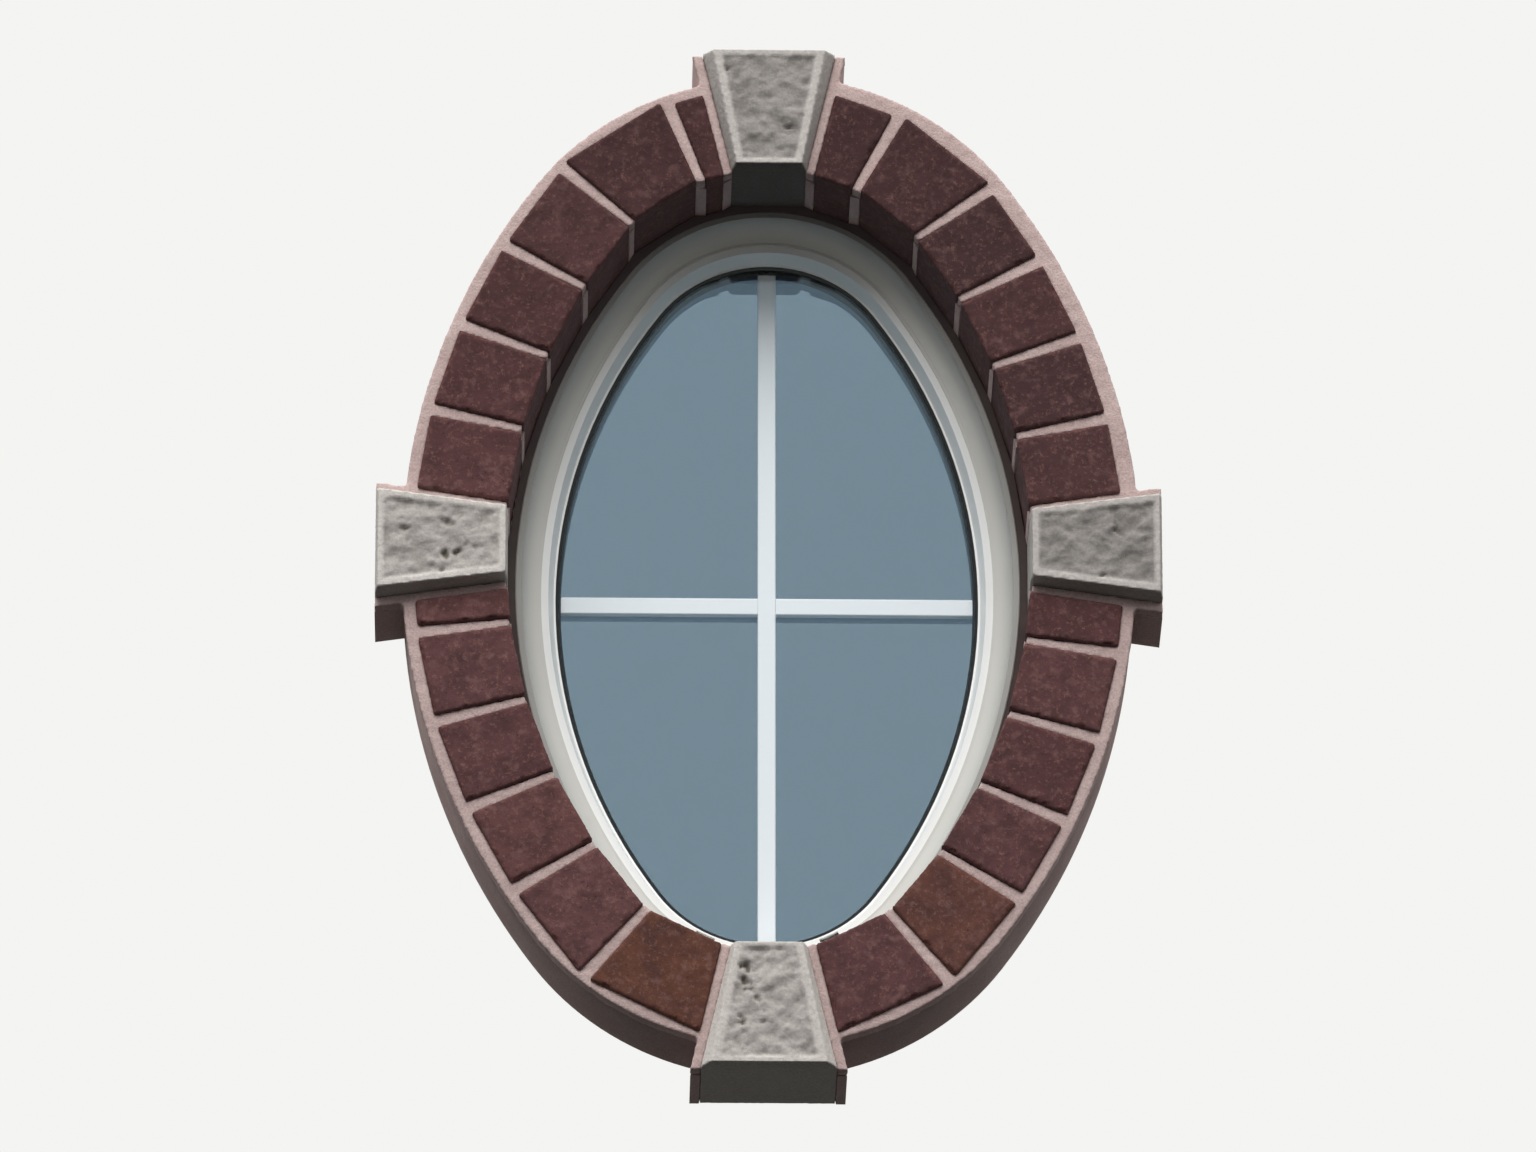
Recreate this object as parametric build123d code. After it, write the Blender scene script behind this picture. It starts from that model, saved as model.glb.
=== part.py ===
from build123d import *
from math import asin, atan2, cos, degrees, hypot, radians, sin, sqrt
import os

# An upright oval window in its ring of cut bricks and keystones.
# Millimetres. +X to the right seen from outside, +Y into the building, +Z up.
# The origin is the oval's centre, in the plane where the nailing fin lies on the wall sheathing.
# An offset is a distance from the edge of the brick opening, positive towards the oval's centre.

# Oval opening between the bricks, drawn with four tangent arcs
OPENING_WIDTH = 500.0
OPENING_HEIGHT = 810.0
END_RADIUS = 175.0

# Bricks and mortar
BRICK_LENGTH = 90.0
BRICK_DEPTH = 90.0
AIR_SPACE = 25.0
JOINT_WIDTH = 9.0
JOINT_FAR_WIDTH = 13.0
MORTAR_RECESS = 4.0
# In each quarter the full bricks share what a narrow closer leaves of the opening's edge
FULL_BRICKS = 5
CLOSER_WIDTH = {"upper_right": 36.0, "lower_right": 45.0, "lower_left": 30.0, "upper_left": 16.0}
# Mortar outside the bricks, thicker where the wall's own bricks were cut back further
COLLAR_WIDTH = {"upper_right": 16.0, "lower_right": 11.0, "lower_left": 11.0, "upper_left": 11.0}

# Keystones: width at the opening and at the far end, where they leave the plane of the brick faces
KEY_LENGTH = 127.0
KEY_PROUD = 13.0
END_KEY_NEAR = 72.0
END_KEY_FAR = 130.0
SIDE_KEY_NEAR = 74.0
SIDE_KEY_FAR = 112.0
SIDE_KEY_RISE = 8.0
KEY_JOINT = 9.0
# Sloping margins of the pitched faces: of the tapered sides at the opening and far end, then of the ends
END_KEY_MARGINS = (4.0, 10.0)
SIDE_KEY_MARGINS = (1.5, 4.0)
MARGIN_END = 2.0

# Joint between bricks and brickmould
PERIMETER_GAP = 7.0
SEALANT_SETBACK = 1.5
SEALANT_DEPTH = 5.0
BACKER_DEPTH = 6.0
BACKER_CORNER = 2.0

# Brickmould
MOULD_WIDTH = 25.0
MOULD_LAP = 13.0
MOULD_NOSE = 6.0
MOULD_STEP = 2.0
MOULD_BEAD = 3.0
MOULD_SAG = 4.5
MOULD_OVERHANG = 3.0
MOULD_PROUD = 2.0
ARRIS = 1.0

# Frame
WALL = 2.2
FACE_WIDTH = 14.0
FACE_NOSE = 7.0
NOSE_HEIGHT = 9.0
LIP_EDGE = 1.2
LIP_LAND = 1.8
SNAP_WIDTH = 3.0
SNAP_DEPTH = 4.0
BEAD_SEAT = 17.0
BEAD_FOOT_WIDTH = 3.0
BEAD_FOOT_DEPTH = 2.8
WEEP_LENGTH = 20.0
WEEP_HEIGHT = 3.5
WEEP_FROM_CENTRE = 60.0

# Nailing fin
FIN_THICK = 1.6
FIN_WIDTH = 32.0
FIN_TONGUE = 5.5
FIN_TONGUE_THICK = 1.1
FIN_HOLE = 5.0
FIN_NAIL_LINE = 19.0
FIN_HOLE_SPACING = 130.0
FIN_BUTT_GAP = 2.0
FIT = 0.2

# Sealed unit
GLASS_FRONT = 7.0
PANE = 3.0
GLASS_SPACE = 13.0
GLASS_COVER = 8.5
GLASS_EDGE_GAP = 3.0
SEAL_HEIGHT = 5.5
SPACER_HEIGHT = 8.0
GASKET = 2.0
GASKET_COVER = 7.5
GASKET_LIP = 3.0
GASKET_BEVEL = 0.8
BEAD_SIGHT = 13.0
BEAD_NOSE = 2.0
BEAD_TOP = 5.5
BEAD_WALL = 1.5
BEAD_BUTT_GAP = 0.4

# Bars between the panes
BAR_WIDTH = 17.5
BAR_DEPTH = 7.5
BAR_WALL = 0.8
BAR_CORNER = 1.5
BAR_END_GAP = 0.3
PLUG_LENGTH = 18.0
JOINER_LENGTH = 56.0

# Blocks under and beside the sealed unit
BLOCK_LENGTH = 26.0
BLOCK_FROM_CENTRE = 75.0
BLOCK_PROUD = 1.0

# The oval's arcs, worked out from the opening
half_width = OPENING_WIDTH / 2
half_height = OPENING_HEIGHT / 2
squares = half_width**2 + half_height**2
side_radius = (squares - 2 * half_height * END_RADIUS) / (2 * (half_width - END_RADIUS))
side_shift = side_radius - half_width
end_shift = half_height - END_RADIUS
corner = degrees(atan2(end_shift, side_shift))
side_run = side_radius * radians(corner)
quarter_run = side_run + END_RADIUS * radians(90 - corner)

# Depths along Y
brick_back = -AIR_SPACE
brick_front = brick_back - BRICK_DEPTH
mould_front = brick_back - MOULD_LAP
seat = -(FIN_THICK + FIT + WALL)
nose_front = seat - NOSE_HEIGHT
lip_back = GLASS_FRONT - GASKET
unit_back = GLASS_FRONT + 2 * PANE + GLASS_SPACE
bead_front = unit_back + GASKET
frame_back = bead_front + BEAD_SEAT
foot_front = bead_front + (BEAD_SEAT - BEAD_FOOT_WIDTH) / 2
foot_back = foot_front + BEAD_FOOT_WIDTH
bar_centre = GLASS_FRONT + PANE + GLASS_SPACE / 2

# Offsets from the opening
frame_outer = PERIMETER_GAP + MOULD_OVERHANG
mould_inner = PERIMETER_GAP + MOULD_WIDTH
sight = mould_inner + FACE_WIDTH
glass_edge = sight - GLASS_COVER
pocket = glass_edge - GLASS_EDGE_GAP
spacer_outer = glass_edge + SEAL_HEIGHT
spacer_inner = spacer_outer + SPACER_HEIGHT
snap_middle = (frame_outer + mould_inner) / 2

# Sign of x and z in each quarter of the ring
QUARTERS = {"upper_right": (1, 1), "lower_right": (1, -1), "lower_left": (-1, -1), "upper_left": (-1, 1)}


def arcs():
    """The four arcs: centre x and z, radius of the opening, first and last direction in degrees."""
    return [
        (-side_shift, 0, side_radius, -corner, corner),
        (0, end_shift, END_RADIUS, corner, 180 - corner),
        (side_shift, 0, side_radius, 180 - corner, 180 + corner),
        (0, -end_shift, END_RADIUS, 180 + corner, 360 - corner),
    ]


def point_at(direction, offset, along=0.0):
    """A point of the first quarter: on the oval's normal in a direction, moved along the tangent."""
    x, z, radius, _, _ = arcs()[0] if direction <= corner else arcs()[1]
    across, up = cos(radians(direction)), sin(radians(direction))
    reach = radius - offset
    return Vector(x + reach * across - along * up, z + reach * up + along * across)


def direction_after(run):
    """Direction of the normal after a run along the opening from the middle of the side."""
    if run <= side_run:
        return degrees(run / side_radius)
    return corner + degrees((run - side_run) / END_RADIUS)


def profile(*points):
    """A cross-section from points of offset and depth."""
    return make_face(Polyline([(-offset, depth) for offset, depth in points], close=True))


def block(offset_a, offset_b, depth_a, depth_b):
    """A rectangular cross-section."""
    return profile((offset_a, depth_a), (offset_b, depth_a), (offset_b, depth_b), (offset_a, depth_b))


def carried(section, start, end):
    """A cross-section carried along the oval from one direction to another, arc by arc."""
    pieces = []
    for x, z, radius, first, last in arcs():
        for lap in (0, 360):
            begin = max(start, first + lap)
            finish = min(end, last + lap)
            if finish - begin < 0.001:
                continue
            across, up = cos(radians(begin)), sin(radians(begin))
            plane = Plane(origin=(x, 0, z), x_dir=(across, 0, up), z_dir=(-up, 0, across))
            placed = plane.location * (Pos(radius, 0, 0) * section)
            pieces.append(revolve(placed, Axis((x, 0, z), (0, -1, 0)), finish - begin))
    return pieces[0] + pieces[1:]


def ring(section):
    """A cross-section carried all the way round."""
    return carried(section, -corner, 360 - corner)


def oval(offset):
    """The oval's outline at an offset, as a flat face in x and z."""
    lines = []
    for x, z, radius, first, last in arcs():
        lines.append(CenterArc((x, z), radius - offset, first, last - first))
    return make_face(lines)


def slab(outline, front, back):
    """A flat outline given thickness from a front depth to a back depth."""
    return extrude(Plane.XZ.offset(-back).location * outline, back - front, dir=(0, -1, 0))


def polygon(points):
    """A flat face from corners in x and z."""
    return make_face(Polyline([(p.X, p.Y) for p in points], close=True))


def mirrored(points, quarter):
    """Points of the first quarter moved to another one."""
    sign_x, sign_z = QUARTERS[quarter]
    return [Vector(p.X * sign_x, p.Y * sign_z) for p in points]


def side_key(rise):
    """Upper side of the side keystone in the first quarter: its corners at the opening and far end."""
    near = Vector(half_width, SIDE_KEY_NEAR / 2 + rise)
    return near, Vector(half_width + KEY_LENGTH, SIDE_KEY_FAR / 2 + rise)


def end_key():
    """The end keystone's side in the first quarter: its corners at the opening and far end."""
    near = Vector(END_KEY_NEAR / 2, half_height)
    return near, Vector(END_KEY_FAR / 2, half_height + KEY_LENGTH)


def beside(line, x, z):
    """A keystone's side moved by the width of its mortar joint."""
    return [p + Vector(x * KEY_JOINT, z * KEY_JOINT) for p in line]


def joint_side(run, sign):
    """One side of a radial joint, as points at the opening and at the bricks' outer ends."""
    direction = direction_after(run)
    near = point_at(direction, 0, sign * JOINT_WIDTH / 2)
    return near, point_at(direction, -BRICK_LENGTH, sign * JOINT_FAR_WIDTH / 2)


def meet(line, through, square_to):
    """Where a line meets the line through a point that is square to a direction."""
    step = line[1] - line[0]
    return line[0] + step * ((through - line[0]).dot(square_to) / step.dot(square_to))


def voussoir(side_a, side_b, run):
    """Corners of a cut brick between two sides, its inner face tangent to the opening."""
    direction = direction_after(run)
    outward = Vector(cos(radians(direction)), sin(radians(direction)))
    inner, outer = point_at(direction, 0), point_at(direction, -BRICK_LENGTH)
    corners = [meet(side_a, inner, outward), meet(side_a, outer, outward)]
    return corners + [meet(side_b, outer, outward), meet(side_b, inner, outward)]


def quarter_bricks(quarter):
    """Corners of one quarter's bricks, in the first quarter, from the side keystone to the end one."""
    sign_z = QUARTERS[quarter][1]
    first = SIDE_KEY_NEAR / 2 + SIDE_KEY_RISE * sign_z + KEY_JOINT
    last = quarter_run - END_RADIUS * asin((END_KEY_NEAR / 2 + KEY_JOINT) / END_RADIUS)
    pitch = (last - first - CLOSER_WIDTH[quarter]) / FULL_BRICKS
    # Full bricks start at the side keystone above the middle and at the bottom keystone below it
    joints = [first + pitch * n - JOINT_WIDTH / 2 for n in range(1, FULL_BRICKS + 1)]
    if sign_z < 0:
        joints = [last - pitch * n + JOINT_WIDTH / 2 for n in range(FULL_BRICKS, 0, -1)]
    sides = [beside(side_key(SIDE_KEY_RISE * sign_z), 0, 1)]
    ends = [first]
    for run in joints:
        sides += [joint_side(run, -1), joint_side(run, 1)]
        ends += [run - JOINT_WIDTH / 2, run + JOINT_WIDTH / 2]
    sides.append(beside(end_key(), 1, 0))
    ends.append(last)
    bricks = []
    for n in range(0, len(ends), 2):
        bricks.append(voussoir(sides[n], sides[n + 1], (ends[n] + ends[n + 1]) / 2))
    return bricks


def quarter_edge(quarter):
    """Edge of the masonry opening in the first quarter, from the side's middle to the end's middle."""
    near_side = side_key(SIDE_KEY_RISE * QUARTERS[quarter][1])[0]
    points = [Vector(half_width, 0), near_side]
    for corners in quarter_bricks(quarter):
        points += [corners[0], corners[3]]
    return points + [end_key()[0], Vector(0, half_height)]


def masonry_opening():
    """The whole opening: straight from corner to corner of bricks and keystones."""
    points = []
    for quarter in QUARTERS:
        sign_x, sign_z = QUARTERS[quarter]
        run = mirrored(quarter_edge(quarter), quarter)[1:-1]
        points += run[::-1] if sign_x * sign_z > 0 else run
    return polygon(points)


def make_mortar(quarter):
    """Mortar of one quarter: radial joints, the collar outside the bricks, joints beside the keystones."""
    rise = SIDE_KEY_RISE * QUARTERS[quarter][1]
    reach = half_height + KEY_LENGTH
    key_at_side = side_key(rise)
    joint_at_side = beside(key_at_side, 0, 1)
    key_at_end = end_key()
    joint_at_end = beside(key_at_end, 1, 0)
    around = oval(-BRICK_LENGTH - COLLAR_WIDTH[quarter])
    collar = around & Pos(reach / 2, reach / 2) * Rectangle(reach, reach)
    body = collar + polygon([key_at_side[0], key_at_side[1], joint_at_side[1], joint_at_side[0]])
    body += polygon([key_at_end[0], key_at_end[1], joint_at_end[1], joint_at_end[0]])
    body -= polygon(quarter_edge(quarter) + [Vector(0, 0)])
    body -= polygon([Vector(0, 0), Vector(half_width, 0), *key_at_side, Vector(key_at_side[1].X, 0)])
    body -= polygon([Vector(0, 0), Vector(0, reach), key_at_end[1], key_at_end[0]])
    for corners in quarter_bricks(quarter):
        body -= polygon(corners)
    sign_x, sign_z = QUARTERS[quarter]
    if sign_x < 0:
        body = mirror(body, Plane.YZ)
    if sign_z < 0:
        body = mirror(body, Plane.XZ)
    return slab(body, brick_front + MORTAR_RECESS, brick_back)


def make_bricks():
    """All cut bricks, numbered clockwise from the top keystone."""
    bricks = []
    for quarter in QUARTERS:
        sign_x, sign_z = QUARTERS[quarter]
        corners = [mirrored(c, quarter) for c in quarter_bricks(quarter)]
        bricks += corners[::-1] if sign_x * sign_z > 0 else corners
    return [slab(polygon(corners), brick_front, brick_back) for corners in bricks]


def make_keystone(direction):
    """A keystone with its bed in the wall and a pitched face with sloping margins in front of it."""
    upright = direction % 180 == 90
    near = END_KEY_NEAR if upright else SIDE_KEY_NEAR
    far = END_KEY_FAR if upright else SIDE_KEY_FAR
    near_margin, far_margin = END_KEY_MARGINS if upright else SIDE_KEY_MARGINS
    start = half_height if upright else half_width
    end = start + KEY_LENGTH
    at_wall = [(start, -near / 2), (end, -far / 2), (end, far / 2), (start, near / 2)]
    near_face, far_face = near / 2 - near_margin, far / 2 - far_margin
    front, back = start + MARGIN_END, end - MARGIN_END
    at_front = [(front, -near_face), (back, -far_face), (back, far_face), (front, near_face)]
    wall_face = make_face(Polyline(at_wall, close=True))
    front_face = Pos(0, 0, KEY_PROUD) * make_face(Polyline(at_front, close=True))
    stone = extrude(wall_face, -BRICK_DEPTH) + loft([wall_face, front_face])
    rise = Pos(0, 0, 0 if upright else SIDE_KEY_RISE)
    return rise * (Plane.XZ.offset(-brick_front).location * (Rot(0, 0, direction) * stone))


def make_sealant():
    """Sealant between brickmould and masonry, as wide as the joint is at each place."""
    front = mould_front + SEALANT_SETBACK
    return slab(masonry_opening() - oval(PERIMETER_GAP), front, front + SEALANT_DEPTH)


def make_backer():
    """Foam rod pressed into the joint behind the sealant."""
    front = mould_front + SEALANT_SETBACK + SEALANT_DEPTH
    shape = block(0, PERIMETER_GAP, front, front + BACKER_DEPTH)
    return ring(chamfer(shape.vertices(), BACKER_CORNER))


def mould_profile():
    """Brickmould: flat nose, hollow cove, small bead against the frame, snap foot at the back."""
    nose = PERIMETER_GAP + MOULD_NOSE
    bead = mould_inner - MOULD_BEAD
    bead_top = nose_front - MOULD_PROUD
    cove_front, cove_back = mould_front + MOULD_STEP, bead_top - MOULD_STEP / 2
    reach = hypot(bead - nose, cove_back - cove_front)
    middle_offset = (nose + bead) / 2 - MOULD_SAG * (cove_back - cove_front) / reach
    middle_depth = (cove_front + cove_back) / 2 + MOULD_SAG * (bead - nose) / reach
    cove = ThreePointArc((-nose, cove_front), (-middle_offset, middle_depth), (-bead, cove_back))
    before = Polyline(
        (-PERIMETER_GAP, seat),
        (-PERIMETER_GAP, mould_front + ARRIS),
        (-PERIMETER_GAP - ARRIS, mould_front),
        (-nose, mould_front),
        (-nose, cove_front),
    )
    after = Polyline((-bead, cove_back), (-bead, bead_top), (-mould_inner, bead_top), (-mould_inner, seat))
    back = Line((-mould_inner, seat), (-PERIMETER_GAP, seat))
    outline = make_face([*before.edges(), cove, *after.edges(), back])
    hollow = offset(outline, -WALL, kind=Kind.INTERSECTION)
    half_foot = SNAP_WIDTH / 2 - FIT
    foot = block(snap_middle - half_foot, snap_middle + half_foot, seat, seat + SNAP_DEPTH - FIT)
    return outline - hollow + foot


def frame_profile():
    """Frame: seat for the brickmould, face and sloping edge, glazing pocket, grooves and chambers."""
    nose = mould_inner + FACE_NOSE
    lip_front = lip_back - LIP_EDGE
    lip = sight - LIP_LAND
    outline = profile(
        (frame_outer, seat),
        (mould_inner, seat),
        (mould_inner, nose_front),
        (nose, nose_front),
        (lip, lip_front),
        (sight, lip_front),
        (sight, lip_back),
        (pocket, lip_back),
        (pocket, frame_back),
        (frame_outer, frame_back),
    )
    fin_groove_back = -FIN_THICK + FIN_TONGUE_THICK + FIT
    outline -= block(frame_outer, frame_outer + FIN_TONGUE + FIT, -FIN_THICK - FIT, fin_groove_back)
    outline -= block(snap_middle - SNAP_WIDTH / 2, snap_middle + SNAP_WIDTH / 2, seat, seat + SNAP_DEPTH)
    outline -= block(pocket - BEAD_FOOT_DEPTH, pocket, foot_front, foot_back)
    web = (frame_outer + mould_inner) / 2
    front = max(fin_groove_back, seat + SNAP_DEPTH) + WALL
    outline -= block(frame_outer + WALL, web - WALL / 2, front, frame_back - WALL)
    outline -= block(web + WALL / 2, mould_inner, lip_back, foot_front - WALL)
    outline -= block(web + WALL / 2, pocket - BEAD_FOOT_DEPTH - WALL, foot_front, frame_back - WALL)
    return outline - nose_chamber(Vector(nose, nose_front), Vector(lip, lip_front))


def nose_chamber(top, bottom):
    """Chamber behind the frame's face and its sloping edge, one wall inside them."""
    slope = (bottom - top).normalized()
    inside = top + Vector(-slope.Y, slope.X) * WALL
    near, front, back = mould_inner + WALL, nose_front + WALL, lip_back - WALL
    front_offset = inside.X + (front - inside.Y) * slope.X / slope.Y
    back_offset = inside.X + (back - inside.Y) * slope.X / slope.Y
    return profile((near, front), (front_offset, front), (back_offset, back), (near, back))


def make_frame():
    """The bent frame profile with two weep slots at the foot of its face."""
    frame = ring(frame_profile())
    slot = block(pocket, pocket + WEEP_HEIGHT, nose_front, lip_back)
    radius = END_RADIUS - pocket
    middle = degrees(asin(WEEP_FROM_CENTRE / radius))
    half = degrees(WEEP_LENGTH / 2 / radius)
    for side in (-1, 1):
        start = 270 + side * middle
        frame -= carried(slot, start - half, start + half)
    return frame


def fin_hole_points():
    """Fixing holes of the fin in the first quarter, evenly spaced along the oval."""
    count = max(1, round(quarter_run / FIN_HOLE_SPACING))
    step = quarter_run / count
    return [point_at(direction_after(step * (n + 0.5)), frame_outer - FIN_NAIL_LINE) for n in range(count)]


def make_fin():
    """Nailing fin: a flexible strip pushed into the frame's groove, its ends butted at the bottom."""
    section = block(frame_outer - FIN_WIDTH, frame_outer - FIT, -FIN_THICK, 0)
    section += block(frame_outer - FIT, frame_outer + FIN_TONGUE, -FIN_THICK, -FIN_THICK + FIN_TONGUE_THICK)
    gap = degrees(FIN_BUTT_GAP / (END_RADIUS - frame_outer))
    start = 270 + gap / 2
    fin = carried(section, start, start + 360 - gap)
    for point in fin_hole_points():
        for quarter in QUARTERS:
            place = mirrored([point], quarter)[0]
            fin -= slab(Pos(place.X, place.Y) * Circle(FIN_HOLE / 2), -FIN_THICK - FIT, FIT)
    return fin


def make_gasket(front, back, seen_from):
    """Glazing gasket whose lip shows past the frame's edge, bevelled on the side that it is seen from."""
    outer = sight - GASKET_COVER
    lip = sight + GASKET_LIP
    bevel = lip - GASKET_BEVEL
    if seen_from == "outside":
        edge = [(bevel, front), (lip, front + GASKET_BEVEL), (lip, back)]
    else:
        edge = [(lip, front), (lip, back - GASKET_BEVEL), (bevel, back)]
    return ring(profile((outer, front), *edge, (outer, back)))


def bead_profile():
    """Interior glazing bead: hollow, sloping to the room, with a foot in the frame's groove."""
    floor = pocket + FIT
    edge = pocket + BEAD_SIGHT
    outline = profile(
        (floor, bead_front),
        (edge, bead_front),
        (edge, bead_front + BEAD_NOSE),
        (pocket + BEAD_TOP, frame_back),
        (floor, frame_back),
    )
    hollow = offset(outline, -BEAD_WALL, kind=Kind.INTERSECTION)
    foot = block(pocket - BEAD_FOOT_DEPTH + FIT, floor, foot_front + FIT, foot_back - FIT)
    return outline - hollow + foot


def make_bead(arc):
    """One interior bead, as long as its arc of the oval."""
    _, _, radius, first, last = arc
    gap = degrees(BEAD_BUTT_GAP / 2 / (radius - pocket))
    return carried(bead_profile(), first + gap, last - gap)


def make_block(arc, direction):
    """A straight block: its middle touches the sealed unit and its two long edges the frame."""
    x, z, radius, _, _ = arc
    near = radius - glass_edge
    far = sqrt((radius - pocket) ** 2 - (BLOCK_LENGTH / 2) ** 2)
    middle = Pos(x, z) * Rot(0, 0, direction) * Pos((near + far) / 2, 0)
    shape = middle * Rectangle(far - near, BLOCK_LENGTH)
    return slab(shape, GLASS_FRONT - BLOCK_PROUD, unit_back + BLOCK_PROUD)


def bar_solid(size, start, end, upright):
    """A bar or plug along Z if upright, else along X, centred between the panes."""
    level = Plane(origin=(0, 0, 0), x_dir=(0, 0, 1), z_dir=(1, 0, 0))
    plane = Plane.XY if upright else level
    shape = extrude(plane.offset(start).location * RectangleRounded(*size), end - start)
    return Pos(0, bar_centre, 0) * shape


def inside_bar(clearance):
    """Width, depth and corner radius of a bar's hollow, less a clearance on every side."""
    less = 2 * (BAR_WALL + clearance)
    return BAR_WIDTH - less, BAR_DEPTH - less, BAR_CORNER - BAR_WALL


def make_bar(start, end, upright):
    """A hollow bar, its ends cut to the curve of the spacer."""
    bar = bar_solid((BAR_WIDTH, BAR_DEPTH, BAR_CORNER), start, end, upright)
    bar -= bar_solid(inside_bar(0), start, end, upright)
    return bar & slab(oval(spacer_inner + BAR_END_GAP), bar_centre - BAR_DEPTH, bar_centre + BAR_DEPTH)


def make_end_key(end, upright):
    """A plug in a bar's end that holds it at the spacer, cut to the spacer's curve."""
    inner = end - PLUG_LENGTH if end > 0 else end + PLUG_LENGTH
    plug = bar_solid(inside_bar(FIT), min(inner, end), max(inner, end), upright)
    return plug & slab(oval(spacer_inner), bar_centre - BAR_DEPTH, bar_centre + BAR_DEPTH)


def group(solids):
    """Like pieces kept together as separate solids."""
    return Compound(children=[piece.solid() for piece in solids])


def masonry_parts():
    """Keystones, cut bricks and mortar."""
    parts = {}
    for name, direction in (("top", 90), ("right", 0), ("bottom", 270), ("left", 180)):
        parts[f"keystone_{name}"] = make_keystone(direction)
    for number, brick in enumerate(make_bricks(), 1):
        parts[f"brick_{number:02d}"] = brick
    for quarter in QUARTERS:
        parts[f"mortar_{quarter}"] = make_mortar(quarter)
    return parts


def frame_parts():
    """Casing, frame, fin, beads and what seals the frame to bricks and glass."""
    parts = {
        "perimeter_sealant": make_sealant(),
        "backer_rod": make_backer(),
        "brickmould": ring(mould_profile()),
        "frame": make_frame(),
        "nailing_fin": make_fin(),
        "exterior_gasket": make_gasket(lip_back, GLASS_FRONT, "outside"),
        "interior_gasket": make_gasket(unit_back, bead_front, "inside"),
    }
    for name, arc in zip(("right", "top", "left", "bottom"), arcs()):
        parts[f"glazing_bead_{name}"] = make_bead(arc)
    return parts


def glass_parts():
    """The sealed unit and the blocks that it stands on and between."""
    right, _, left, bottom = arcs()
    space_front, space_back = GLASS_FRONT + PANE, unit_back - PANE
    lean = degrees(asin(BLOCK_FROM_CENTRE / (END_RADIUS - glass_edge)))
    beside_glass = ((right, 0), (left, 180))
    return {
        "outer_pane": slab(oval(glass_edge), GLASS_FRONT, space_front),
        "inner_pane": slab(oval(glass_edge), space_back, unit_back),
        "spacer": ring(block(spacer_outer, spacer_inner, space_front, space_back)),
        "edge_seal": ring(block(glass_edge, spacer_outer, space_front, space_back)),
        "setting_blocks": group(make_block(bottom, 270 + side * lean) for side in (-1, 1)),
        "location_blocks": group(make_block(arc, direction) for arc, direction in beside_glass),
    }


def bar_parts():
    """The cross of bars between the panes: one through bar, two half bars, a joiner and end keys."""
    through = make_bar(-half_height, half_height, True)
    window = bar_solid(inside_bar(FIT / 2), -BAR_WIDTH, BAR_WIDTH, False)
    ends = [(half_height - spacer_inner, True), (half_width - spacer_inner, False)]
    keys = [make_end_key(sign * end, upright) for end, upright in ends for sign in (-1, 1)]
    return {
        "bar_upright": through - window,
        "bar_left": make_bar(-half_width, -BAR_WIDTH / 2, False),
        "bar_right": make_bar(BAR_WIDTH / 2, half_width, False),
        "bar_joiner": bar_solid(inside_bar(FIT), -JOINER_LENGTH / 2, JOINER_LENGTH / 2, False),
        "bar_end_keys": group(keys),
    }


os.makedirs("parts", exist_ok=True)
for node, shape in (masonry_parts() | frame_parts() | glass_parts() | bar_parts()).items():
    export_step(shape, f"parts/{node}.step")
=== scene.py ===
from math import atan2, cos, hypot, radians, sin
import random

import bmesh
import bpy
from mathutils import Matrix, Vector, noise


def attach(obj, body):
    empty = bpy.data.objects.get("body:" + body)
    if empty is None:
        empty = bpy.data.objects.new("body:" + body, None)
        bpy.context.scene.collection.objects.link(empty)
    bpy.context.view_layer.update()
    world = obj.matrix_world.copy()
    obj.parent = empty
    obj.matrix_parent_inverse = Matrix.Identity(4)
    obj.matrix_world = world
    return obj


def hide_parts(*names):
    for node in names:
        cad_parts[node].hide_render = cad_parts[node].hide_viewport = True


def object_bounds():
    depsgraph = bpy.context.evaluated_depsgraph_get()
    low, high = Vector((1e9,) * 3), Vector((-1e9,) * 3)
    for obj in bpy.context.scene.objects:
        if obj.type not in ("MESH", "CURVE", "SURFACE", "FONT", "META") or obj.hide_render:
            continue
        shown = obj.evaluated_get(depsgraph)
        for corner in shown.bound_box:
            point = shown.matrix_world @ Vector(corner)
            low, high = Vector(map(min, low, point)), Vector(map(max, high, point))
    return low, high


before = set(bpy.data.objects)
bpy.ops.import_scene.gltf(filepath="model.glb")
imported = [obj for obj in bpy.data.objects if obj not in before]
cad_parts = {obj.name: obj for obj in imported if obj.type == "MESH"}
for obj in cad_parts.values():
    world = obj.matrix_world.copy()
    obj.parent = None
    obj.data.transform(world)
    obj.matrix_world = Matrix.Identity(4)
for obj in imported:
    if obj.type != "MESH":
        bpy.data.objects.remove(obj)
cad_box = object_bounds()

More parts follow.
